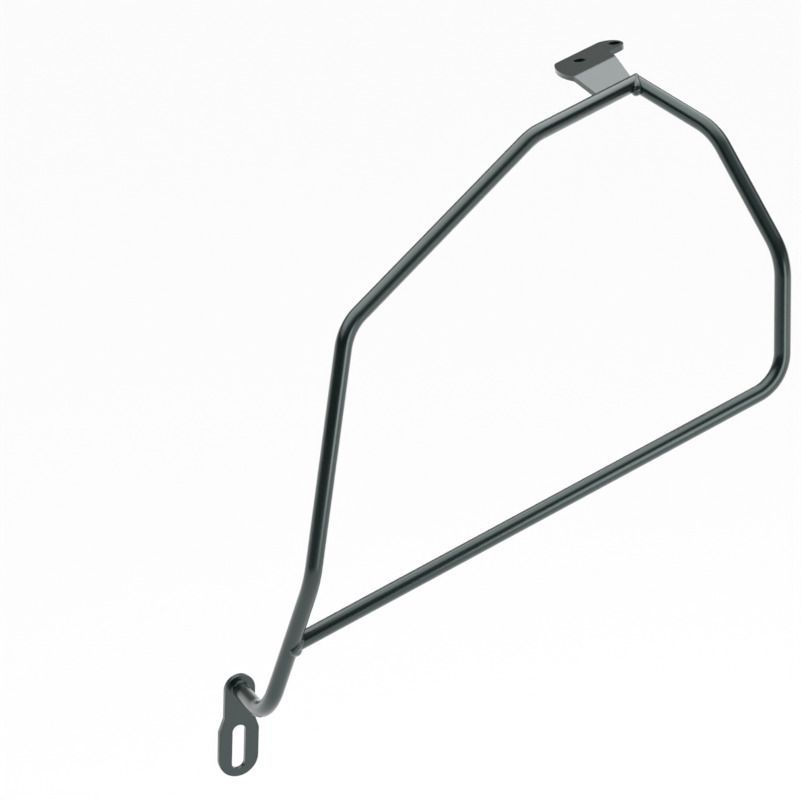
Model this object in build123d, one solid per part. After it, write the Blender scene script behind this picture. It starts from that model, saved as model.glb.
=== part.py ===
from build123d import *
import math
import os

# Welded pannier frame for one side of a motorcycle, in millimetres.
# +X runs to the rear of the machine, +Y inboard and +Z up.
# The origin is the middle of the foot slot, on the face that bolts to the machine.

# Tube stock
tube_diameter = 12.0
tube_wall = 1.5
tight_bend_radius = 32.0
easy_bend_radius = 50.0
foot_bend_radius = 40.0

# Bend points of the front tube: how far rearward, outboard and up from the foot slot
foot_bend_back = -4.5
foot_bend_out = 65.8
foot_bend_up = 55.3
knee_back = 16.0
knee_out = 101.0
knee_up = 170.75
shoulder_back = 56.0
shoulder_out = 73.0
shoulder_up = 337.75
top_bend_back = 231.0
top_bend_out = 10.0
top_bend_up = 431.75
top_joint_back = 342.0
top_joint_out = -36.0
top_joint_up = 445.75

# Bend points of the rear tube, from the top joint down to the long lower bar
crown_back = 369.0
crown_out = 30.0
crown_up = 422.75
hip_back = 386.0
hip_out = 99.0
hip_up = 345.75
heel_back = 380.0
heel_out = 115.0
heel_up = 258.25
lower_joint_up = 117.25

# Foot tab: a flat plate with a slot for the foot-rest bolt
tab_thickness = 4.0
tab_lean = 2.7
tab_width = 31.0
tab_neck_width = 23.4
tab_head_up = 46.2
tab_waist_up = 24.5
tab_shoulder_up = 14.0
tab_bottom_drop = 23.9
slot_width = 10.4
slot_length = 35.6

# Top bracket: a folded plate with two bolt holes beside the top run
bracket_thickness = 4.0
bracket_roll = 4.0
bracket_fold_radius = 10.0
bolt_hole_diameter = 9.0
bolt_hole_spacing = 43.0
bolt_row_inboard = 50.5
bolt_row_rise = 8.5
bolt_row_back = 21.5
plate_edge_inboard = 13.5
ear_radius = 11.3
ear_past_hole = 6.6
front_curve_radius = 45.0
front_curve_forward = 9.7
front_curve_out = 24.0
fold_out = 20.0
flange_seat_angle = 40.0
flange_front_at_tube = 65.0
flange_rear_at_fold = 3.8
flange_rear_at_tube = 24.7
front_corner_radius = 8.0
notch_radius = 4.0

# Weld beads: rows of overlapping drops, with their middles a little under the tubes' faces
lower_drop_count = 7
mitre_drop_count = 6
seam_sink = 2.2
lower_bead_under = 5.6
lower_bead_side = 4.2
lower_bead_crotch = 4.4
lower_spread = 360.0
mitre_bead_inner = 5.0
mitre_bead_side = 3.2
mitre_bead_outer = 3.0
mitre_spread = 230.0
foot_bead_leg = 2.6
flange_bead_radius = 2.2
flange_bead_inset = 3.0

# How far rough stock and cutters run past what they shape, in tube diameters
overrun_share = 1.5
block_share = 4.0

tube_radius = tube_diameter / 2
bore_radius = tube_radius - tube_wall
overrun = overrun_share * tube_diameter
block_side = block_share * tube_diameter


def place(back, out, up):
    """Return the point that lies this far rearward, outboard and up from the foot slot."""
    return Vector(back, -out, up)


foot_bend = place(foot_bend_back, foot_bend_out, foot_bend_up)
knee = place(knee_back, knee_out, knee_up)
shoulder = place(shoulder_back, shoulder_out, shoulder_up)
top_bend = place(top_bend_back, top_bend_out, top_bend_up)
top_joint = place(top_joint_back, top_joint_out, top_joint_up)
crown = place(crown_back, crown_out, crown_up)
hip = place(hip_back, hip_out, hip_up)
heel = place(heel_back, heel_out, heel_up)

# The lower bar meets the front tube's lower leg at the stated height
leg_line = (knee - foot_bend).normalized()
lower_joint = foot_bend + (knee - foot_bend) * ((lower_joint_up - foot_bend_up) / (knee_up - foot_bend_up))
bar_line = (heel - lower_joint).normalized()

# The tab stands on edge and leans rearward; its sketch plane is the bolted face
lean = math.radians(tab_lean)
tab_plane = Plane(
    origin=(0, 0, 0),
    x_dir=(math.cos(lean), 0, -math.sin(lean)),
    z_dir=(0, -1, 0),
)
tab_outer_plane = tab_plane.offset(tab_thickness)
stub_end = tab_outer_plane.from_local_coords(Vector(0, tab_head_up, 0))
stub_line = (foot_bend - stub_end).normalized()

# The two tubes are mitred together on the plane that halves the turn at the top joint
top_run = (top_joint - top_bend).normalized()
crown_run = (crown - top_joint).normalized()
mitre_plane = Plane(origin=top_joint, z_dir=top_run + crown_run)

# Directions across the top run: level and inboard, and square to both
across = Vector(0, 0, 1).cross(top_run).normalized()
above = top_run.cross(across)
roll = math.radians(bracket_roll)
plate_across = across * math.cos(roll) - above * math.sin(roll)
bolt_row_middle = top_joint + top_run * bolt_row_back + across * bolt_row_inboard + above * bolt_row_rise
plate_plane = Plane(origin=bolt_row_middle, x_dir=top_run, z_dir=top_run.cross(plate_across))

# The rear ear is round and ends a little past the rear bolt hole
ear_back = bolt_hole_spacing / 2 + ear_past_hole - ear_radius

# The flange runs from the fold down to its seat on the tube
seat = math.radians(flange_seat_angle)
seat_point = top_joint + (across * math.sin(seat) + above * math.cos(seat)) * tube_radius
fold_point = bolt_row_middle - top_run * bolt_row_back - plate_across * fold_out
flange_line = (fold_point - seat_point).normalized()
flange_up = top_run.cross(flange_line)


def sweep_round(path, radius):
    """Return the solid that a circle of this radius sweeps along a path."""
    section = Plane(origin=path @ 0, z_dir=path % 0) * Circle(radius)
    return sweep(section, path=path)


def front_path():
    """Return the front tube's centre line, run on past both of its ends."""
    start = stub_end - stub_line * overrun
    end = top_joint + top_run * overrun
    radii = [foot_bend_radius, easy_bend_radius, tight_bend_radius, easy_bend_radius]
    return FilletPolyline(start, foot_bend, knee, shoulder, top_bend, end, radius=radii)


def rear_path():
    """Return the rear tube's centre line, from past the mitre to the front tube's axis."""
    start = top_joint - crown_run * overrun
    radii = [easy_bend_radius, easy_bend_radius, tight_bend_radius]
    return FilletPolyline(start, crown, hip, heel, lower_joint, radius=radii)


def end_block(plane):
    """Return a block that stands on a plane and takes off the run-on past a tube's end."""
    return extrude(plane * Rectangle(block_side, block_side), block_side)


def front_rod(radius):
    """Return a round bar on the front tube's line, cut at the tab and at the mitre."""
    rod = sweep_round(front_path(), radius)
    tab_side = Plane(origin=stub_end, z_dir=-tab_outer_plane.z_dir)
    return rod - end_block(tab_side) - end_block(mitre_plane)


def rear_rod(radius):
    """Return a round bar on the rear tube's line, cut at the mitre and run into the front tube."""
    rod = sweep_round(rear_path(), radius)
    return rod - end_block(-mitre_plane)


def straight_rod(start, end, radius):
    """Return a round bar between two points."""
    return sweep_round(Line(start, end), radius)


def leg_rod(radius):
    """Return a round bar along the front tube's lower leg, past the lower joint both ways."""
    return straight_rod(lower_joint - leg_line * overrun, lower_joint + leg_line * overrun, radius)


def front_tube():
    """Return the front tube: from the tab up through four bends to the mitre."""
    return front_rod(tube_radius) - front_rod(bore_radius)


def rear_tube():
    """Return the rear tube: mitred at the top, bent three times and coped to the front tube."""
    tube = rear_rod(tube_radius) - rear_rod(bore_radius)
    return tube - leg_rod(tube_radius)


def foot_tab():
    """Return the slotted tab: a round head under the stub, a waist and a wider round foot."""
    neck = tab_neck_width / 2
    half = tab_width / 2
    foot_centre = half - tab_bottom_drop
    outline = Polygon(
        (-half, foot_centre),
        (half, foot_centre),
        (half, tab_shoulder_up),
        (neck, tab_waist_up),
        (neck, tab_head_up),
        (-neck, tab_head_up),
        (-neck, tab_waist_up),
        (-half, tab_shoulder_up),
        align=None,
    )
    outline += Pos(0, foot_centre) * Circle(half)
    outline += Pos(0, tab_head_up) * Circle(neck)
    outline -= Rot(0, 0, 90) * SlotOverall(slot_length, slot_width)
    return extrude(tab_plane * outline, tab_thickness)


def bracket_outline():
    """Return the bracket's outline, seen square to its plate, with the flange running past the tube."""
    ear_out = plate_edge_inboard - 2 * ear_radius
    ear = Pos(ear_back, plate_edge_inboard - ear_radius) * Circle(ear_radius)
    plate = Polygon(
        (-front_curve_forward, ear_out),
        (ear_back, ear_out),
        (ear_back, plate_edge_inboard),
        (-front_curve_forward, plate_edge_inboard),
        align=None,
    )
    curve = Pos(-front_curve_forward, -front_curve_out) * Circle(front_curve_radius)
    curve_side = Polygon(
        (-front_curve_forward, -fold_out),
        (-front_curve_forward, plate_edge_inboard),
        (-2 * front_curve_radius, plate_edge_inboard),
        (-2 * front_curve_radius, -fold_out),
        align=None,
    )

    def curve_x(y):
        return -front_curve_forward - math.sqrt(front_curve_radius**2 - (y + front_curve_out) ** 2)

    flange_run = bolt_row_inboard - fold_out
    front_fold = curve_x(-fold_out)
    front_skew = (flange_front_at_tube + front_fold) / flange_run
    rear_skew = (flange_rear_at_tube - flange_rear_at_fold) / flange_run
    past_tube = flange_run + tube_diameter
    notch = (-flange_rear_at_fold + rear_skew * (fold_out + ear_out), ear_out)
    flange = Polygon(
        (front_fold, -fold_out),
        (front_fold - front_skew * past_tube, -fold_out - past_tube),
        (-flange_rear_at_fold - rear_skew * past_tube, -fold_out - past_tube),
        notch,
        (-front_curve_forward, ear_out),
        (-front_curve_forward, -fold_out),
        align=None,
    )
    outline = (curve & curve_side) + plate + ear + flange
    corners = {notch: notch_radius, (curve_x(plate_edge_inboard), plate_edge_inboard): front_corner_radius}
    for corner, radius in corners.items():
        outline = fillet(outline.vertices().sort_by_distance(Vector(*corner))[0], radius)
    return outline


def bracket_section():
    """Return the folded sheet's section, square to the top run, from the plate's free edge into the tube."""
    section_plane = Plane(origin=bolt_row_middle - top_run * bolt_row_back, x_dir=plate_across, z_dir=top_run)
    tube_end = seat_point - flange_line * (tube_radius / 2) - flange_up * (bracket_thickness / 2)
    end = section_plane.to_local_coords(tube_end)
    half_fold = (plate_plane.z_dir + flange_up).normalized()
    fold_middle = fold_point - half_fold * (bracket_thickness / 2 / half_fold.dot(flange_up))
    fold = section_plane.to_local_coords(fold_middle)
    free_edge = Vector(2 * plate_edge_inboard, -bracket_thickness / 2)
    path = FilletPolyline(free_edge, fold, end, radius=bracket_fold_radius)
    return section_plane * trace(path, bracket_thickness)


def top_bracket():
    """Return the folded bracket: bolt plate, fold and flange, coped to the top run."""
    length = 2 * flange_front_at_tube
    sheet = extrude(bracket_section(), length, dir=top_run, both=True)
    sheet = sheet & extrude(plate_plane * bracket_outline(), block_side, both=True)
    for side in (-1, 1):
        hole = Cylinder(bolt_hole_diameter / 2, block_side)
        sheet -= plate_plane * Pos(side * bolt_hole_spacing / 2, 0, 0) * hole
    return sheet - straight_rod(top_joint - top_run * length, top_joint + top_run * overrun, tube_radius)


def seam_bead(seam_at, drop_count, spread, sizes):
    """Return the rippled weld bead round a joint of the two tubes.

    seam_at gives the seam's place for an angle round the joint.
    drop_count is how many drops the bead has.
    spread is the angle that the bead covers, with its fat side in the middle.
    sizes are the drops' radii at the fat side, at the flanks and opposite the fat side.
    """
    fat, flank, thin = sizes
    pitch = math.radians(spread) / drop_count
    drops = []
    for step in range(drop_count):
        turn = (step + 0.5 - drop_count / 2) * pitch
        facing = math.cos(turn)
        end = fat if facing > 0 else thin
        drops.append(Pos(seam_at(turn)) * Sphere(flank + (end - flank) * facing**2))
    return drops[0] + drops[1:]


def lower_joint_bead():
    """Return the bead round the coped end of the lower bar, fattest underneath."""
    side = leg_line.cross(bar_line).normalized()
    under = side.cross(bar_line)
    rise = bar_line.dot(leg_line)

    def seam_at(turn):
        spoke = under * math.cos(turn) + side * math.sin(turn)
        along = spoke.dot(leg_line)
        reach = (along * rise + abs(along)) / (1 - rise**2)
        return lower_joint + (spoke + bar_line * reach) * (tube_radius - seam_sink)

    bead = seam_bead(seam_at, lower_drop_count, lower_spread, (lower_bead_under, lower_bead_side, lower_bead_crotch))
    return bead - leg_rod(tube_radius) - straight_rod(lower_joint, lower_joint + bar_line * block_side, tube_radius)


def top_joint_bead():
    """Return the bead round the mitre, fattest in the inner corner and open at the outer one."""
    side = top_run.cross(crown_run).normalized()
    inner = (crown_run - top_run).normalized() / top_run.dot(mitre_plane.z_dir)

    def seam_at(turn):
        spoke = inner * math.cos(turn) + side * math.sin(turn)
        return top_joint + spoke * (tube_radius - seam_sink)

    bead = seam_bead(seam_at, mitre_drop_count, mitre_spread, (mitre_bead_inner, mitre_bead_side, mitre_bead_outer))
    front_end = straight_rod(top_joint - top_run * overrun, top_joint + top_run * overrun, tube_radius)
    rear_end = straight_rod(top_joint - crown_run * overrun, top_joint + crown_run * overrun, tube_radius)
    return bead - (front_end - end_block(mitre_plane)) - (rear_end - end_block(-mitre_plane))


def foot_bead():
    """Return the fillet weld round the stub on the outer face of the tab."""
    height = 2 * foot_bead_leg
    collar = Cone(tube_radius + height, tube_radius, height, align=(Align.CENTER, Align.CENTER, Align.MIN))
    base = Plane(origin=stub_end - stub_line * foot_bead_leg, z_dir=stub_line)
    tab_side = Plane(origin=stub_end, z_dir=-tab_outer_plane.z_dir)
    return base * collar - end_block(tab_side) - front_rod(tube_radius)


def flange_bead():
    """Return the bead under the flange, in the corner that it makes with the top run."""
    under = seat_point - flange_up * bracket_thickness - top_joint
    lead = under.dot(flange_line)
    corner = under + flange_line * (math.sqrt(lead**2 + tube_radius**2 - under.dot(under)) - lead)
    start = top_joint + corner + top_run * (bolt_row_back - flange_front_at_tube + flange_bead_inset)
    end = top_joint + corner + top_run * (bolt_row_back - flange_rear_at_tube - flange_bead_inset)
    bead = straight_rod(start, end, flange_bead_radius)
    return bead - straight_rod(start - corner, end - corner, tube_radius) - top_bracket()


def weld_beads():
    """Return the four beads that hold the tubes, the tab and the bracket together."""
    beads = [lower_joint_bead(), top_joint_bead(), foot_bead(), flange_bead()]
    return Compound([solid for bead in beads for solid in bead.solids()])


pieces = {
    "front_tube": front_tube,
    "rear_tube": rear_tube,
    "foot_tab": foot_tab,
    "top_bracket": top_bracket,
    "weld_beads": weld_beads,
}

if __name__ == "__main__":
    os.makedirs("parts", exist_ok=True)
    for name, build in pieces.items():
        export_step(build(), f"parts/{name}.step")
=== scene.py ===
"""Studio scene of a welded pannier frame, for one side of a motorcycle."""

import logging
import math
from dataclasses import dataclass
from enum import Enum
from typing import Any, Callable, Optional, Sequence, Union

import bmesh
import bpy
from mathutils import Matrix, Vector


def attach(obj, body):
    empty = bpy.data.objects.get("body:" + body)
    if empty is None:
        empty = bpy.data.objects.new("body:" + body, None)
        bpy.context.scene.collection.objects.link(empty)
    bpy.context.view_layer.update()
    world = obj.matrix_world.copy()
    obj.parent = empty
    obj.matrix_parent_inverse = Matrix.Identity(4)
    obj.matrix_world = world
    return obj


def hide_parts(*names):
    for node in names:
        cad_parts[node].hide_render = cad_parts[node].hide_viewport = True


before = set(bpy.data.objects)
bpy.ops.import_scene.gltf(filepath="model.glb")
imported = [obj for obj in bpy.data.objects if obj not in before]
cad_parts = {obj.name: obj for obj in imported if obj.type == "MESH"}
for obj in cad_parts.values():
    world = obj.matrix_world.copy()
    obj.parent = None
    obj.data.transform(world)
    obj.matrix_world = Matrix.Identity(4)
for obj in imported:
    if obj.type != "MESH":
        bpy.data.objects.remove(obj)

log = logging.getLogger("pannier_frame")

Key = Union[int, str]
Colour = tuple[float, float, float]
Triple = tuple[float, float, float]
Bend = tuple[Triple, float]
Span = tuple[float, float]
Ramp = tuple[float, float, float, float]

MM = 0.001
BODY = "root"
PHOTO_WIDTH = 801
FULL_TURN = 2 * math.pi
UP = Vector((0.0, 0.0, 1.0))
OUTBOARD = Vector((0.0, -1.0, 0.0))

# Points closer than this, in metres, are one point.
DOUBLED = 1e-6

# The value that noise swings about.
NOISE_MIDDLE = 0.5

# The sockets that a Mix node uses for colours.
MIX_FACTOR, MIX_LOW, MIX_HIGH, MIX_RESULT = 0, 6, 7, 2

# With these values, a Bump node reads its height in metres.
TRUE_HEIGHT = {"Strength": 1.0, "Distance": 1.0}


class Node(Enum):
    """The CAD nodes of the frame."""

    FRONT_TUBE = "front_tube"
    REAR_TUBE = "rear_tube"
    FOOT_TAB = "foot_tab"
    TOP_BRACKET = "top_bracket"
    WELD_BEADS = "weld_beads"


class Slot(Enum):
    """The material slots."""

    COAT = "powder_coat"
    WELD = "coated_weld"


class Tip(Enum):
    """The two tips of a tube."""

    START = "Start"
    END = "End"

    @property
    def mark(self) -> str:
        """Return the name of the attribute that marks this tip's points."""
        return f"at_{self.value.lower()}"


class Signal:
    """One output of a node, with the operators that the node maths needs."""

    def __init__(self, board: "Board", socket: Optional[bpy.types.NodeSocket]) -> None:
        """Hold a socket, or None for a tree's last node, and the board that it is on."""
        self.board = board
        self.socket = socket

    def _math(self, operation: str, first: Any, second: Any) -> "Signal":
        """Add a Math node for two values and return its result."""
        return self.board.add("ShaderNodeMath", {"operation": operation}, {0: first, 1: second})

    def __add__(self, other: Any) -> "Signal":
        """Return this value plus another."""
        return self._math("ADD", self, other)

    def __radd__(self, other: Any) -> "Signal":
        """Return another value plus this one."""
        return self._math("ADD", other, self)

    def __sub__(self, other: Any) -> "Signal":
        """Return this value less another."""
        return self._math("SUBTRACT", self, other)

    def __rsub__(self, other: Any) -> "Signal":
        """Return another value less this one."""
        return self._math("SUBTRACT", other, self)

    def __mul__(self, other: Any) -> "Signal":
        """Return this value times another."""
        return self._math("MULTIPLY", self, other)

    def __rmul__(self, other: Any) -> "Signal":
        """Return another value times this one."""
        return self._math("MULTIPLY", other, self)

    def __truediv__(self, other: Any) -> "Signal":
        """Return this value divided by another."""
        return self._math("DIVIDE", self, other)

    def __rtruediv__(self, other: Any) -> "Signal":
        """Return another value divided by this one."""
        return self._math("DIVIDE", other, self)


class Board:
    """A node tree that is written as calls and expressions."""

    def __init__(self, tree: bpy.types.NodeTree) -> None:
        """Hold the tree that nodes are added to."""
        self.tree = tree

    def add(
        self,
        kind: str,
        settings: Optional[dict[str, Any]] = None,
        sockets: Optional[dict[Key, Any]] = None,
        output: Key = 0,
    ) -> Signal:
        """Add one node.

        Args:
            kind: The node's type name.
            settings: The node's own properties, which are set first.
            sockets: A value or a Signal for each input, by name or number.
            output: The output to return, by name or number.

        Returns:
            The node's output as a Signal, which is empty if the node has no outputs.
        """
        node = self.tree.nodes.new(kind)
        for name, value in (settings or {}).items():
            setattr(node, name, value)
        for key, value in (sockets or {}).items():
            if isinstance(value, Signal):
                self.tree.links.new(value.socket, node.inputs[key])
            else:
                node.inputs[key].default_value = value
        return Signal(self, node.outputs[output] if len(node.outputs) else None)


def opaque(colour: Colour) -> Ramp:
    """Return a colour with full alpha."""
    return (*colour, 1.0)


@dataclass(frozen=True)
class Finish:
    """A named finish, whose shader each kind of finish gives."""

    name: str

    def shader(self, board: Board) -> Signal:
        """Add the finish's shader to a board and return it."""
        raise NotImplementedError

    def material(self) -> bpy.types.Material:
        """Make the finish's material.

        Returns:
            The finish as a node material.
        """
        material = bpy.data.materials.new(self.name)
        material.use_nodes = True
        material.node_tree.nodes.clear()
        board = Board(material.node_tree)
        board.add("ShaderNodeOutputMaterial", {}, {"Surface": self.shader(board)})
        return material


@dataclass(frozen=True)
class PowderCoat(Finish):
    """Satin powder coat over steel: a pigmented film with orange peel, under its own clear skin.

    All pitches and heights are in metres.
    """

    shade: Colour = (0.0052, 0.0118, 0.0108)
    deep_shade: Colour = (0.0038, 0.0092, 0.0084)
    gloss_tint: Colour = (0.64, 1.0, 0.96)
    cloud_pitch: float = 0.035
    cloud_detail: float = 3.0
    peel_pitch: float = 0.0022
    peel_detail: float = 1.0
    peel_height: float = 0.000030
    grain_pitch: float = 0.0005
    grain_detail: float = 2.0
    grain_height: float = 0.000004
    roughness: float = 0.24
    roughness_spread: float = 0.08
    ior: float = 1.5
    skin: float = 1.0
    skin_roughness: float = 0.22

    def shader(self, board: Board) -> Signal:
        """Add the coat's shader to a board.

        Args:
            board: The material's board.

        Returns:
            The shader.
        """
        place = board.add("ShaderNodeTexCoord", output="Object")

        def noise(pitch: float, detail: float) -> Signal:
            """Return noise that repeats about once in a pitch."""
            sockets = {"Vector": place, "Scale": 1 / pitch, "Detail": detail}
            return board.add("ShaderNodeTexNoise", {}, sockets, "Fac")

        cloud = noise(self.cloud_pitch, self.cloud_detail)
        peel_swing = noise(self.peel_pitch, self.peel_detail) - NOISE_MIDDLE
        grain_swing = noise(self.grain_pitch, self.grain_detail) - NOISE_MIDDLE
        shades = {
            MIX_FACTOR: cloud,
            MIX_LOW: opaque(self.deep_shade),
            MIX_HIGH: opaque(self.shade),
        }
        cloud_rough = (cloud - NOISE_MIDDLE) * self.roughness_spread
        grain_rough = grain_swing * self.roughness_spread
        height = peel_swing * self.peel_height + grain_swing * self.grain_height
        film = {
            "Base Color": board.add("ShaderNodeMix", {"data_type": "RGBA"}, shades, MIX_RESULT),
            "Roughness": self.roughness + cloud_rough + grain_rough,
            "Normal": board.add("ShaderNodeBump", {}, {**TRUE_HEIGHT, "Height": height}),
            "IOR": self.ior,
            "Coat Weight": self.skin,
            "Coat IOR": self.ior,
            "Coat Roughness": self.skin_roughness,
            "Specular Tint": opaque(self.gloss_tint),
        }
        return board.add("ShaderNodeBsdfPrincipled", {}, film)


@dataclass(frozen=True)
class BoreFilmAndShade(Finish):
    """The thin, dull film that powder leaves on the wall of a bolt hole, with its gloss turned low
    so that the wall renders dark: partly a real thin coat, partly painted shade in the hole.
    """

    shade: Colour = PowderCoat.deep_shade
    roughness: float = 0.80
    # The low gloss paints shade: the bore wall reflects little, so the hole renders dark.
    gloss: float = 0.10

    def shader(self, board: Board) -> Signal:
        """Add the film's shader to a board.

        Args:
            board: The material's board.

        Returns:
            The shader.
        """
        film = {
            "Base Color": opaque(self.shade),
            "Roughness": self.roughness,
            "Specular IOR Level": self.gloss,
        }
        return board.add("ShaderNodeBsdfPrincipled", {}, film)


@dataclass(frozen=True)
class FloorPaper(Finish):
    """The plain, matt paper on the studio's floor."""

    shade: Colour = (0.78, 0.78, 0.78)

    def shader(self, board: Board) -> Signal:
        """Add the paper's shader to a board and return it."""
        return board.add("ShaderNodeBsdfDiffuse", {}, {"Color": opaque(self.shade)})


def put(name: str, data: bpy.types.ID) -> bpy.types.Object:
    """Put a mesh, a lamp or a camera in the scene.

    Args:
        name: The object's name.
        data: What the object holds.

    Returns:
        The object.
    """
    holder = bpy.data.objects.new(name, data)
    bpy.context.scene.collection.objects.link(holder)
    return holder


def settled(source: bpy.types.Object) -> bpy.types.Mesh:
    """Turn an object and its modifiers into a plain mesh. The object is used up.

    Args:
        source: The object.

    Returns:
        Its final shape.
    """
    bpy.context.view_layer.update()
    shaped = source.evaluated_get(bpy.context.evaluated_depsgraph_get())
    mesh = bpy.data.meshes.new_from_object(shaped)
    source.modifiers.clear()
    bpy.data.objects.remove(source)
    return mesh


class Recipe:
    """A Geometry Nodes tree with named inputs, and the plain mesh that it makes."""

    def __init__(self, name: str) -> None:
        """Start an empty tree that takes a skeleton of points and edges.

        Args:
            name: The tree's name.
        """
        self.tree = bpy.data.node_groups.new(name, "GeometryNodeTree")
        self.board = Board(self.tree)
        self.identifiers: dict[str, str] = {}
        self.tree.interface.new_socket(
            "Result", in_out="OUTPUT", socket_type="NodeSocketGeometry"
        )
        self.skeleton = self.named("Skeleton", "NodeSocketGeometry")

    def named(self, name: str, kind: str = "NodeSocketFloat") -> Signal:
        """Add a named input.

        Args:
            name: The input's name.
            kind: The socket's type.

        Returns:
            The input as a Signal inside the tree.
        """
        socket = self.tree.interface.new_socket(name, in_out="INPUT", socket_type=kind)
        self.identifiers[name] = socket.identifier
        return self.board.add("NodeGroupInput", output=name)

    def attribute(self, name: str) -> Signal:
        """Return a number that each of the skeleton's points carries."""
        number = {"data_type": "FLOAT"}
        return self.board.add("GeometryNodeInputNamedAttribute", number, {"Name": name})

    def vector(self, operation: str, values: dict[Key, Any], output: Key = "Vector") -> Signal:
        """Return the result of vector maths on the values of its sockets."""
        return self.board.add("ShaderNodeVectorMath", {"operation": operation}, values, output)

    def close(self, shape: Signal, material: Signal) -> None:
        """End the tree: smooth, realize and dress the shape.

        Args:
            shape: The geometry that is made.
            material: The material that it gets.
        """
        board = self.board
        smooth = board.add("GeometryNodeSetShadeSmooth", {}, {"Geometry": shape})
        real = board.add("GeometryNodeRealizeInstances", {}, {"Geometry": smooth})
        dressing = {"Geometry": real, "Material": material}
        dressed = board.add("GeometryNodeSetMaterial", {}, dressing)
        board.add("NodeGroupOutput", {}, {"Result": dressed})

    def make(self, source: bpy.types.Object, values: dict[str, Any]) -> bpy.types.Mesh:
        """Run the tree on a skeleton, which is used up.

        Args:
            source: The skeleton.
            values: A value for each named input.

        Returns:
            The result as a plain mesh.
        """
        modifier = source.modifiers.new(self.tree.name, "NODES")
        modifier.node_group = self.tree
        for name, value in values.items():
            modifier[self.identifiers[name]] = value
        return settled(source)


def skeleton(
    name: str,
    points: Sequence[Vector],
    numbers: dict[str, Sequence[float]],
    closed: bool,
) -> bpy.types.Object:
    """Make a chain of points and edges that carries numbers on its points.

    Args:
        name: The object's name.
        points: The chain's points, in order.
        numbers: For each attribute's name, a value for each point.
        closed: Whether the last point joins the first.

    Returns:
        The chain, linked to the scene.
    """
    count = len(points)
    edges = [(i, (i + 1) % count) for i in range(count if closed else count - 1)]
    mesh = bpy.data.meshes.new(name)
    mesh.from_pydata([tuple(p) for p in points], edges, [])
    for attribute, values in numbers.items():
        layer = mesh.attributes.new(attribute, "FLOAT", "POINT")
        layer.data.foreach_set("value", list(values))
    return put(name, mesh)


def set_out(name: str, mesh: bpy.types.Mesh, nodes: Sequence[Node], slot: Slot) -> None:
    """Put a finished mesh in the scene in place of its CAD nodes.

    Args:
        name: The piece's name.
        mesh: The piece's mesh, with its place in it.
        nodes: The CAD nodes that it stands for.
        slot: The material slot for its finish; not used.
    """
    mesh.name = name
    piece = put(name, mesh)
    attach(piece, BODY)
    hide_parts(*[node.value for node in nodes])
    log.info("%s: %d faces", name, len(mesh.polygons))


def tidy_mesh(mesh: bpy.types.Mesh) -> None:
    """Merge a mesh's doubled points and turn its faces outwards.

    Args:
        mesh: The mesh, which is changed in place.
    """
    work = bmesh.new()
    work.from_mesh(mesh)
    bmesh.ops.remove_doubles(work, verts=work.verts, dist=DOUBLED)
    bmesh.ops.recalc_face_normals(work, faces=work.faces)
    work.to_mesh(mesh)
    work.free()


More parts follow.
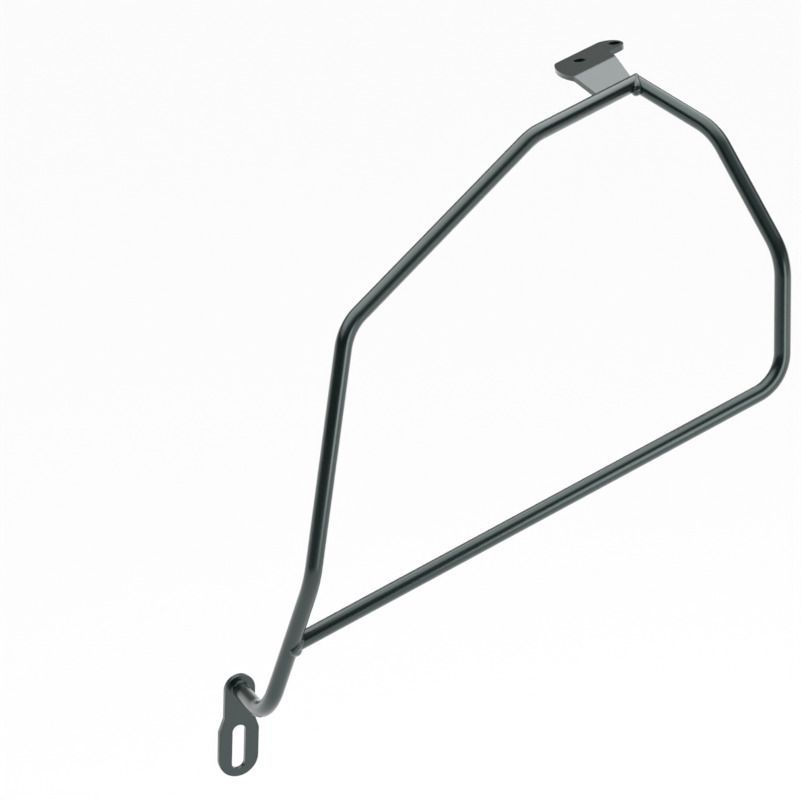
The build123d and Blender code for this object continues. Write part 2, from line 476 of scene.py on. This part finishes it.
@dataclass(frozen=True)
class Lines:
    """The frame's bend points and the directions that follow from them, in metres.

    A point is given as millimetres rearward, outboard and up from the foot slot. The row of bolt
    holes is given as millimetres rearward, inboard and up from the top joint.
    """

    tube_radius: float = 6.0 * MM
    tab_thickness: float = 4.0 * MM
    tab_lean: float = math.radians(2.7)
    tab_head: float = 46.2 * MM
    foot_bend: Triple = (-4.5, 65.8, 55.3)
    knee: Triple = (16.0, 101.0, 170.75)
    shoulder: Triple = (56.0, 73.0, 337.75)
    top_bend: Triple = (231.0, 10.0, 431.75)
    top_joint: Triple = (342.0, -36.0, 445.75)
    crown: Triple = (369.0, 30.0, 422.75)
    hip: Triple = (386.0, 99.0, 345.75)
    heel: Triple = (380.0, 115.0, 258.25)
    lower_joint_up: float = 117.25 * MM
    bracket_thickness: float = 4.0 * MM
    bracket_roll: float = math.radians(4.0)
    bolt_row: Triple = (21.5, 50.5, 8.5)
    bolt_spacing: float = 43.0 * MM
    bolt_hole_radius: float = 4.5 * MM
    fold_out: float = 20.0 * MM
    flange_seat: float = math.radians(40.0)
    flange_front: float = 65.0 * MM
    flange_rear: float = 24.7 * MM

    def at(self, point: Triple) -> Vector:
        """Return a bend point's place."""
        back, out, up = point
        return Vector((back, -out, up)) * MM

    @property
    def stub_end(self) -> Vector:
        """Return the middle of the stub's end, on the tab's outer face."""
        lean, head = self.tab_lean, self.tab_head
        return Vector((math.sin(lean) * head, -self.tab_thickness, math.cos(lean) * head))

    @property
    def stub_line(self) -> Vector:
        """Return the stub's direction, away from the tab."""
        return (self.at(self.foot_bend) - self.stub_end).normalized()

    @property
    def leg_line(self) -> Vector:
        """Return the lower leg's direction, upwards."""
        return (self.at(self.knee) - self.at(self.foot_bend)).normalized()

    @property
    def lower_joint(self) -> Vector:
        """Return the place where the lower bar meets the leg."""
        low, high = self.at(self.foot_bend), self.at(self.knee)
        return low.lerp(high, (self.lower_joint_up - low.z) / (high.z - low.z))

    @property
    def bar_line(self) -> Vector:
        """Return the lower bar's direction, away from the leg."""
        return (self.at(self.heel) - self.lower_joint).normalized()

    @property
    def top_run(self) -> Vector:
        """Return the top run's direction, rearwards."""
        return (self.at(self.top_joint) - self.at(self.top_bend)).normalized()

    @property
    def across(self) -> Vector:
        """Return the level direction across the top run, inboard."""
        return UP.cross(self.top_run).normalized()

    @property
    def above(self) -> Vector:
        """Return the direction that stands up from the top run."""
        return self.top_run.cross(self.across)

    @property
    def crown_run(self) -> Vector:
        """Return the rear tube's direction as it leaves the top joint."""
        return (self.at(self.crown) - self.at(self.top_joint)).normalized()

    @property
    def mitre_normal(self) -> Vector:
        """Return the normal of the plane that halves the turn at the top joint."""
        return (self.top_run + self.crown_run).normalized()

    def bolt_axes(self) -> tuple[list[Vector], Vector]:
        """Find the bracket's bolt holes.

        Returns:
            The middle of each hole, and the direction of their axes.
        """
        run, across, above = self.top_run, self.across, self.above
        back, inboard, rise = (size * MM for size in self.bolt_row)
        middle = self.at(self.top_joint) + run * back + across * inboard + above * rise
        axis = above * math.cos(self.bracket_roll) + across * math.sin(self.bracket_roll)
        return [middle + run * side * self.bolt_spacing / 2 for side in (-1, 1)], axis

    def flange_corner(self) -> tuple[Vector, float, float]:
        """Find the corner that the bracket's flange makes with the underside of the top run.

        Returns:
            The corner beside the top joint, and how far along the top run the flange starts and
            ends.
        """
        run, across, above = self.top_run, self.across, self.above
        roll, seat_turn = self.bracket_roll, self.flange_seat
        back, inboard, rise = (size * MM for size in self.bolt_row)
        plate_across = across * math.cos(roll) - above * math.sin(roll)
        seat = (across * math.sin(seat_turn) + above * math.cos(seat_turn)) * self.tube_radius
        fold = across * inboard + above * rise - plate_across * self.fold_out
        flange_line = (fold - seat).normalized()
        under = seat - run.cross(flange_line) * self.bracket_thickness
        lead = under.dot(flange_line)
        reach = math.sqrt(lead**2 + self.tube_radius**2 - under.dot(under)) - lead
        corner = self.at(self.top_joint) + under + flange_line * reach
        return corner, back - self.flange_front, back - self.flange_rear


@dataclass(frozen=True)
class TubeEnd:
    """A tube's end: where its line stops, and the plane that it is cut on."""

    place: Vector
    line: Vector
    normal: Vector

    @property
    def slide(self) -> Vector:
        """Return how far along the line a point moves for a step across the plane."""
        return self.line / self.line.dot(self.normal)


@dataclass
class BentTubes:
    """The two bent tubes, swept along their bend points."""

    lines: Lines
    coat: bpy.types.Material
    tight_bend: float = 32.0 * MM
    easy_bend: float = 50.0 * MM
    foot_bend: float = 40.0 * MM
    sides: int = 72
    arc_steps: int = 28
    tab_bite: float = 1.5 * MM

    def recipe(self) -> Recipe:
        """Write the tree that rounds a line's corners and sweeps a tube along it.

        Returns:
            The tree.
        """
        recipe = Recipe("bent_tube")
        board = recipe.board
        radius = recipe.named("Tube radius")
        sides = recipe.named("Sides", "NodeSocketInt")
        steps = recipe.named("Arc steps", "NodeSocketInt")
        coat = recipe.named("Coat", "NodeSocketMaterial")
        line = board.add("GeometryNodeMeshToCurve", {}, {"Mesh": recipe.skeleton})
        bends = {"Curve": line, "Count": steps, "Radius": recipe.attribute("bend_radius")}
        path = board.add("GeometryNodeFilletCurve", {"mode": "POLY"}, bends)
        for tip in Tip:
            sizes = {"Start Size": int(tip is Tip.START), "End Size": int(tip is Tip.END)}
            ends = board.add("GeometryNodeCurveEndpointSelection", {}, sizes)
            number = {"data_type": "FLOAT", "domain": "POINT"}
            stored = {"Geometry": path, "Name": tip.mark, "Value": ends}
            path = board.add("GeometryNodeStoreNamedAttribute", number, stored)
        round_bar = {"Resolution": sides, "Radius": radius}
        ring = board.add("GeometryNodeCurvePrimitiveCircle", {"mode": "RADIUS"}, round_bar)
        swept = {"Curve": path, "Profile Curve": ring, "Fill Caps": True}
        tube = board.add("GeometryNodeCurveToMesh", {}, swept)
        for tip in Tip:
            place = recipe.named(f"{tip.value} place", "NodeSocketVector")
            normal = recipe.named(f"{tip.value} normal", "NodeSocketVector")
            slide = recipe.named(f"{tip.value} slide", "NodeSocketVector")
            position = board.add("GeometryNodeInputPosition")
            short = recipe.vector("SUBTRACT", {0: place, 1: position})
            gap = recipe.vector("DOT_PRODUCT", {0: short, 1: normal}, "Value")
            share = gap * recipe.attribute(tip.mark)
            move = recipe.vector("SCALE", {0: slide, "Scale": share})
            moved = {"Geometry": tube, "Offset": move}
            tube = board.add("GeometryNodeSetPosition", {}, moved)
        recipe.close(tube, coat)
        return recipe

    def sweep(
        self, recipe: Recipe, node: Node, bends: Sequence[Bend], ends: dict[Tip, TubeEnd]
    ) -> None:
        """Make one tube in place of its CAD node.

        Args:
            recipe: The tree that sweeps it.
            node: The CAD node.
            bends: Each bend point with its radius, from the start to the end.
            ends: The start and the end of the tube.
        """
        corners = [self.lines.at(point) for point, _ in bends]
        points = [ends[Tip.START].place, *corners, ends[Tip.END].place]
        radii = [0.0, *[radius for _, radius in bends], 0.0]
        chain = skeleton(f"{node.value}_line", points, {"bend_radius": radii}, closed=False)
        values = {
            "Tube radius": self.lines.tube_radius,
            "Sides": self.sides,
            "Arc steps": self.arc_steps,
            "Coat": self.coat,
        }
        for tip, end in ends.items():
            values[f"{tip.value} place"] = end.place
            values[f"{tip.value} normal"] = end.normal
            values[f"{tip.value} slide"] = end.slide
        mesh = recipe.make(chain, values)
        tidy_mesh(mesh)
        set_out(f"{node.value}_swept", mesh, [node], Slot.COAT)

    def build(self) -> None:
        """Make both tubes."""
        lines = self.lines
        recipe = self.recipe()
        joint = lines.at(lines.top_joint)
        stub = TubeEnd(lines.stub_end - OUTBOARD * self.tab_bite, lines.stub_line, OUTBOARD)
        mitre_front = TubeEnd(joint, lines.top_run, lines.mitre_normal)
        mitre_rear = TubeEnd(joint, lines.crown_run, lines.mitre_normal)
        cope = TubeEnd(lines.lower_joint, lines.bar_line, lines.bar_line)
        front = [
            (lines.foot_bend, self.foot_bend),
            (lines.knee, self.easy_bend),
            (lines.shoulder, self.tight_bend),
            (lines.top_bend, self.easy_bend),
        ]
        rear = [
            (lines.crown, self.easy_bend),
            (lines.hip, self.easy_bend),
            (lines.heel, self.tight_bend),
        ]
        front_ends = {Tip.START: stub, Tip.END: mitre_front}
        rear_ends = {Tip.START: mitre_rear, Tip.END: cope}
        self.sweep(recipe, Node.FRONT_TUBE, front, front_ends)
        self.sweep(recipe, Node.REAR_TUBE, rear, rear_ends)


@dataclass
class Plates:
    """The foot tab and the top bracket, with the eased edges that a thick coat gives cut plate."""

    lines: Lines
    coat: bpy.types.Material
    bore_film_and_shade: bpy.types.Material
    ease: float = 0.55 * MM
    ease_steps: int = 3
    sharp: float = math.radians(40.0)
    flat: float = math.radians(0.5)
    even_weight: int = 100

    def eased(self, node: Node) -> bpy.types.Mesh:
        """Ease the sharp edges of a CAD node's shape.

        Args:
            node: The CAD node.

        Returns:
            The new mesh.
        """
        work = bmesh.new()
        work.from_mesh(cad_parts[node.value].data)
        bmesh.ops.remove_doubles(work, verts=work.verts, dist=DOUBLED)
        bmesh.ops.dissolve_limit(
            work, angle_limit=self.flat, verts=work.verts, edges=work.edges
        )
        mesh = bpy.data.meshes.new(node.value)
        work.to_mesh(mesh)
        work.free()
        mesh.materials.clear()
        mesh.materials.append(self.coat)
        mesh.polygons.foreach_set("use_smooth", [True] * len(mesh.polygons))
        plate = put(node.value, mesh)
        bevel = plate.modifiers.new("Eased edges", "BEVEL")
        bevel.width = self.ease
        bevel.segments = self.ease_steps
        bevel.limit_method = "ANGLE"
        bevel.angle_limit = self.sharp
        even = plate.modifiers.new("Even faces", "WEIGHTED_NORMAL")
        even.mode = "FACE_AREA"
        even.weight = self.even_weight
        return settled(plate)

    def line_bores_with_shade(self, mesh: bpy.types.Mesh) -> None:
        """Give the walls of the bolt holes their own dull film, whose low gloss paints shade in the
        holes.

        Args:
            mesh: The bracket's mesh.
        """
        middles, axis = self.lines.bolt_axes()
        radius = self.lines.bolt_hole_radius
        mesh.materials.append(self.bore_film_and_shade)
        film_and_shade_index = len(mesh.materials) - 1
        # Faces on the bore walls take the dull film, which paints shade in the holes.
        for face in mesh.polygons:
            if any((face.center - middle).cross(axis).length < radius for middle in middles):
                face.material_index = film_and_shade_index

    def build(self) -> None:
        """Make both plates."""
        for node in (Node.FOOT_TAB, Node.TOP_BRACKET):
            mesh = self.eased(node)
            if node is Node.TOP_BRACKET:
                self.line_bores_with_shade(mesh)
            set_out(f"{node.value}_eased", mesh, [node], Slot.COAT)


@dataclass(frozen=True)
class Seam:
    """A weld's seam: its points, the bead's radius at each, and whether it closes."""

    name: str
    points: Sequence[Vector]
    radii: Sequence[float]
    closed: bool


@dataclass
class WeldBeads:
    """The weld beads: a rippled bead along each seam, under the same coat.

    The sizes of a bead are its radii in millimetres, at its fat side, at its flanks and opposite.
    """

    lines: Lines
    coat: bpy.types.Material
    seam_steps: int = 48
    lower_sink: float = 1.8 * MM
    mitre_sink: float = 1.6 * MM
    pitch: float = 1.5 * MM
    ripple_depth: float = 0.05
    ripple_steps: int = 6
    sides: int = 32
    wobble: float = 0.12
    wobble_pitch: float = 5.0 * MM
    wobble_detail: float = 1.0
    lower_sizes: Triple = (5.0, 3.8, 4.0)
    lower_focus: int = 2
    mitre_sizes: Triple = (3.7, 2.2, 2.1)
    mitre_push: float = 2.9 * MM
    mitre_focus: int = 4
    mitre_spread: float = math.radians(230.0)
    foot_leg: float = 1.6 * MM
    foot_root: float = 0.6 * MM
    foot_steps: int = 96
    foot_arc_steps: int = 8
    foot_ripple: float = 0.05
    foot_ripple_steps: int = 3
    flange_radius: float = 2.2 * MM
    flange_inset: float = 3.0 * MM

    def recipe(self) -> Recipe:
        """Write the tree that lays a rippled bead along a seam.

        Returns:
            The tree.
        """
        recipe = Recipe("rippled_bead")
        board = recipe.board
        ripples = recipe.named("Ripples", "NodeSocketInt")
        steps = recipe.named("Steps", "NodeSocketInt")
        depth = recipe.named("Ripple depth")
        wobble = recipe.named("Wobble")
        fineness = recipe.named("Wobble fineness")
        sides = recipe.named("Sides", "NodeSocketInt")
        coat = recipe.named("Coat", "NodeSocketMaterial")
        line = board.add("GeometryNodeMeshToCurve", {}, {"Mesh": recipe.skeleton})
        spaced = {"Curve": line, "Count": steps}
        path = board.add("GeometryNodeResampleCurve", {"mode": "COUNT"}, spaced)
        along = board.add("GeometryNodeSplineParameter", output="Factor")
        phase = along * ripples * math.pi
        wave = board.add("ShaderNodeMath", {"operation": "SINE"}, {0: phase})
        crest = board.add("ShaderNodeMath", {"operation": "ABSOLUTE"}, {0: wave})
        place = board.add("GeometryNodeInputPosition")
        uneven = {"Vector": place, "Scale": fineness, "Detail": self.wobble_detail}
        swing = board.add("ShaderNodeTexNoise", {}, uneven, "Fac") - NOISE_MIDDLE
        rippled = recipe.attribute("bead_radius") * (1 - depth * (1 - crest))
        size = rippled * (1 + wobble * swing)
        unit_ring = {"Resolution": sides, "Radius": 1.0}
        ring = board.add("GeometryNodeCurvePrimitiveCircle", {"mode": "RADIUS"}, unit_ring)
        swept = {"Curve": path, "Profile Curve": ring, "Scale": size, "Fill Caps": True}
        bead = board.add("GeometryNodeCurveToMesh", {}, swept)
        recipe.close(bead, coat)
        return recipe

    def ring(
        self,
        name: str,
        seam_at: Callable[[float], Vector],
        spread: float,
        sizes: Triple,
        focus: int,
    ) -> Seam:
        """Lay out the seam round a joint.

        Args:
            name: The seam's name.
            seam_at: The seam's place for an angle round the joint.
            spread: The angle that the bead covers, with its fat side in the middle.
            sizes: The bead's sizes.
            focus: How strongly the fat keeps to its side.

        Returns:
            The seam.
        """
        fat, flank, thin = sizes
        closed = math.isclose(spread, FULL_TURN)
        gaps = self.seam_steps if closed else self.seam_steps - 1
        turns = [spread * (step / gaps - 0.5) for step in range(self.seam_steps)]

        def radius(turn: float) -> float:
            """Return the bead's radius for an angle."""
            swell = (fat if math.cos(turn) > 0 else thin) - flank
            return (flank + swell * math.cos(turn) ** focus) * MM

        points = [seam_at(turn) for turn in turns]
        return Seam(name, points, [radius(turn) for turn in turns], closed)

    def lower_seam(self) -> Seam:
        """Lay out the seam round the coped end of the lower bar.

        Returns:
            The seam.
        """
        lines = self.lines
        leg, bar = lines.leg_line, lines.bar_line
        side = leg.cross(bar).normalized()
        under = side.cross(bar)
        rise = bar.dot(leg)

        def seam_at(turn: float) -> Vector:
            """Find the seam.

            Args:
                turn: The angle round the bar.

            Returns:
                The seam's place.
            """
            spoke = under * math.cos(turn) + side * math.sin(turn)
            along = spoke.dot(leg)
            reach = (along * rise + abs(along)) / (1 - rise**2)
            return lines.lower_joint + (spoke + bar * reach) * (lines.tube_radius - self.lower_sink)

        return self.ring("lower_seam", seam_at, FULL_TURN, self.lower_sizes, self.lower_focus)

    def mitre_seam(self) -> Seam:
        """Lay out the seam round the mitre at the top.

        Returns:
            The seam.
        """
        lines = self.lines
        run, crown = lines.top_run, lines.crown_run
        side = run.cross(crown).normalized()
        inner = (crown - run).normalized() / run.dot(lines.mitre_normal)
        joint = lines.at(lines.top_joint)

        def seam_at(turn: float) -> Vector:
            """Find the seam.

            Args:
                turn: The angle round the mitre, from its inner corner.

            Returns:
                The seam's place.
            """
            spoke = inner * math.cos(turn) + side * math.sin(turn)
            push = self.mitre_push * max(math.cos(turn), 0.0) ** self.mitre_focus
            return joint + spoke * (lines.tube_radius - self.mitre_sink + push)

        return self.ring(
            "mitre_seam", seam_at, self.mitre_spread, self.mitre_sizes, self.mitre_focus
        )

    def foot_fillet(self) -> bpy.types.Mesh:
        """Make the hollow fillet round the stub on the tab.

        Returns:
            The fillet as a closed ring.
        """
        lines = self.lines
        line, root = lines.stub_line, self.foot_root
        level = line.cross(UP).normalized()
        upright = level.cross(line)
        quarter = math.pi / 2
        arc = [quarter * i / self.foot_arc_steps for i in range(self.foot_arc_steps + 1)]
        work = bmesh.new()
        rings = []
        for step in range(self.foot_steps):
            turn = FULL_TURN * step / self.foot_steps
            spoke = upright * math.cos(turn) + level * math.sin(turn)
            foot = spoke * lines.tube_radius
            foot -= line * (foot.dot(OUTBOARD) / line.dot(OUTBOARD))
            out = foot.normalized()
            dip = self.foot_ripple * (step % self.foot_ripple_steps == 0)
            leg = self.foot_leg * (1 - dip)
            profile = [(leg * (1 - math.sin(t)), leg * (1 - math.cos(t))) for t in arc]
            profile += [(-root, leg), (-root, -root), (leg, -root)]
            place = lines.stub_end + foot
            rings.append(
                [work.verts.new(place + out * side + line * rise) for side, rise in profile]
            )
        for one, two in zip(rings, rings[1:] + rings[:1]):
            for i, corner in enumerate(one):
                after = (i + 1) % len(one)
                work.faces.new((corner, one[after], two[after], two[i])).smooth = True
        mesh = bpy.data.meshes.new("foot_fillet")
        work.to_mesh(mesh)
        work.free()
        return mesh

    def flange_seam(self) -> Seam:
        """Lay out the straight seam under the flange, along the top run.

        Returns:
            The seam.
        """
        lines = self.lines
        corner, front, rear = lines.flange_corner()
        start = corner + lines.top_run * (front + self.flange_inset)
        end = corner + lines.top_run * (rear - self.flange_inset)
        return Seam("flange_seam", [start, end], [self.flange_radius] * 2, closed=False)

    def bead(self, recipe: Recipe, seam: Seam) -> bpy.types.Mesh:
        """Lay the bead along one seam.

        Args:
            recipe: The tree that lays it.
            seam: The seam.

        Returns:
            The bead as a plain mesh.
        """
        points = [*seam.points, seam.points[0]] if seam.closed else seam.points
        length = sum((b - a).length for a, b in zip(points, points[1:]))
        ripples = round(length / self.pitch)
        chain = skeleton(seam.name, seam.points, {"bead_radius": seam.radii}, seam.closed)
        values = {
            "Ripples": ripples,
            "Steps": ripples * self.ripple_steps,
            "Ripple depth": self.ripple_depth,
            "Wobble": self.wobble,
            "Wobble fineness": 1 / self.wobble_pitch,
            "Sides": self.sides,
            "Coat": self.coat,
        }
        return recipe.make(chain, values)

    def build(self) -> None:
        """Make every bead and join them in one piece."""
        recipe = self.recipe()
        work = bmesh.new()
        seams = (self.lower_seam(), self.mitre_seam(), self.flange_seam())
        for bead in (*[self.bead(recipe, seam) for seam in seams], self.foot_fillet()):
            work.from_mesh(bead)
            bpy.data.meshes.remove(bead)
        mesh = bpy.data.meshes.new("weld_beads_rippled")
        work.to_mesh(mesh)
        work.free()
        mesh.materials.append(self.coat)
        tidy_mesh(mesh)
        set_out("weld_beads_rippled", mesh, [Node.WELD_BEADS], Slot.WELD)


@dataclass(frozen=True)
class StripBox:
    """An upright soft box, aimed at the frame."""

    name: str
    place: Triple
    size: Span
    radiance: float
    target: Triple = (0.20, -0.06, 0.25)

    def hang(self) -> None:
        """Put the lamp in the scene."""
        lamp = bpy.data.lights.new(self.name, "AREA")
        lamp.shape = "RECTANGLE"
        lamp.size, lamp.size_y = self.size
        lamp.energy = self.radiance * math.pi * self.size[0] * self.size[1]
        holder = put(self.name, lamp)
        holder.location = self.place
        aim = Vector(self.target) - Vector(self.place)
        holder.rotation_euler = aim.to_track_quat("-Z", "Y").to_euler()
        holder.visible_camera = False
        log.info("lamp %s", self.name)


@dataclass
class Studio:
    """The camera, the floor, the lamps and the room.

    The room's light is written by direction. The overhead panel and its brighter core are set out
    on a level plane overhead, as slopes from the upright. A ramp gives the two edges that an area
    fades over, and a span gives one edge. The azimuth is taken from +Y towards +X.
    """

    camera_place: Triple = (-0.6398, -1.5533, 0.93745)
    camera_right: Triple = (0.8954, -0.4454, 0.0)
    camera_up: Triple = (0.1648, 0.3314, 0.9290)
    camera_reach: float = 1600.0
    focal_pixels: float = 2617.2
    sensor: float = 36.0
    floor_height: float = -0.40
    floor_reach: float = 400.0
    floor_paper: FloorPaper = FloorPaper("floor_paper")
    panel_light: float = 1.7
    panel_x: Ramp = (-1.83, -1.67, 1.22, 1.38)
    panel_y: Ramp = (-0.72, -0.34, 1.30, 1.75)
    panel_lowest: float = 0.02
    core_light: float = 3.0
    core_x: Ramp = (-1.50, -0.80, 1.00, 1.35)
    core_y: Ramp = (-0.45, -0.10, 0.75, 1.45)
    ceiling_light: float = 0.41
    ceiling_edge: Span = (0.45, 0.65)
    wall_light: float = 0.17
    wall_azimuth: float = math.radians(20.0)
    wall_edge: Span = (-0.1, 0.3)
    backdrop_light: float = 1.0
    backdrop_edge: Span = (0.10, 0.20)
    dim_light: float = 0.02
    strips: Sequence[StripBox] = (
        StripBox("strip_box", (0.47, -1.11, 0.38), (0.50, 0.66), 3.0),
        StripBox("fill_box", (1.02, -0.76, 0.45), (0.50, 0.70), 0.85),
    )

    def aim_camera(self) -> None:
        """Put the camera where the photograph was taken from."""
        camera = bpy.data.cameras.new("camera")
        camera.sensor_width = self.sensor
        camera.lens = self.focal_pixels / PHOTO_WIDTH * self.sensor
        camera.clip_end = self.camera_reach
        holder = put("camera", camera)
        right = Vector(self.camera_right).normalized()
        up = Vector(self.camera_up).normalized()
        back = right.cross(up)
        turn = Matrix((right, up, back)).transposed().to_4x4()
        holder.matrix_world = Matrix.Translation(Vector(self.camera_place)) @ turn
        bpy.context.scene.camera = holder

    def lay_floor(self) -> None:
        """Lay a plain pale floor under the frame."""
        reach = self.floor_reach
        corners = [(-reach, -reach), (reach, -reach), (reach, reach), (-reach, reach)]
        mesh = bpy.data.meshes.new("floor")
        mesh.from_pydata([(x, y, self.floor_height) for x, y in corners], [], [(0, 1, 2, 3)])
        mesh.materials.append(self.floor_paper.material())
        floor = put("floor", mesh)

    def fill_room(self) -> None:
        """Light the room: the panel overhead, the ceiling, the walls and a white backdrop."""
        world = bpy.data.worlds.new("room")
        world.use_nodes = True
        world.node_tree.nodes.clear()
        board = Board(world.node_tree)
        place = board.add("ShaderNodeTexCoord", output="Generated")
        x, y, z = (
            board.add("ShaderNodeSeparateXYZ", {}, {"Vector": place}, axis) for axis in "XYZ"
        )
        raised = {0: z, 1: self.panel_lowest}
        height = board.add("ShaderNodeMath", {"operation": "MAXIMUM"}, raised)

        def past(value: Signal, edge: Span) -> Signal:
            """Return a smooth step from 0 to 1 over an edge."""
            limits = {"Value": value, "From Min": edge[0], "From Max": edge[1]}
            return board.add("ShaderNodeMapRange", {"interpolation_type": "SMOOTHSTEP"}, limits)

        def between(value: Signal, ramp: Ramp) -> Signal:
            """Return 1 inside a ramp and 0 outside it, with a soft edge at both ends."""
            return past(value, ramp[:2]) * (1 - past(value, ramp[2:]))

        panel = between(x / height, self.panel_x) * between(y / height, self.panel_y)
        core = between(x / height, self.core_x) * between(y / height, self.core_y)
        ahead = Vector((math.sin(self.wall_azimuth), math.cos(self.wall_azimuth), 0.0))
        toward = {0: place, 1: ahead}
        facing = board.add("ShaderNodeVectorMath", {"operation": "DOT_PRODUCT"}, toward, "Value")
        low = 1 - past(z, self.backdrop_edge)
        backdrop = low * (self.backdrop_light - self.wall_light)
        walls = past(facing, self.wall_edge) * (backdrop + (self.wall_light - self.dim_light))
        ceiling = past(z, self.ceiling_edge) * (self.ceiling_light - self.wall_light)
        panel_glow = panel * (self.panel_light - self.ceiling_light)
        core_glow = core * (self.core_light - self.panel_light)
        strength = self.dim_light + walls + ceiling + (panel_glow + core_glow)
        glow = board.add("ShaderNodeBackground", {}, {"Strength": strength})
        board.add("ShaderNodeOutputWorld", {}, {"Surface": glow})
        bpy.context.scene.world = world

    def build(self) -> None:
        """Set up the studio."""
        bpy.context.scene.view_settings.view_transform = "Standard"
        self.aim_camera()
        self.lay_floor()
        self.fill_room()
        for strip in self.strips:
            strip.hang()


def main() -> None:
    """Build the frame's pieces and the studio."""
    logging.basicConfig(level=logging.INFO, format="%(message)s")
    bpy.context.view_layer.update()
    lines = Lines()
    coat = PowderCoat("satin_powder_coat").material()
    weld_coat = PowderCoat("coated_weld_bead", peel_pitch=0.0012, roughness=0.28).material()
    BentTubes(lines, coat).build()
    # The bolt holes' dull film, whose low gloss paints shade in the holes.
    bore_film_and_shade = BoreFilmAndShade("bolt_hole_film_and_shade").material()
    Plates(lines, coat, bore_film_and_shade).build()
    WeldBeads(lines, weld_coat).build()
    Studio().build()


if __name__ == "__main__":
    main()
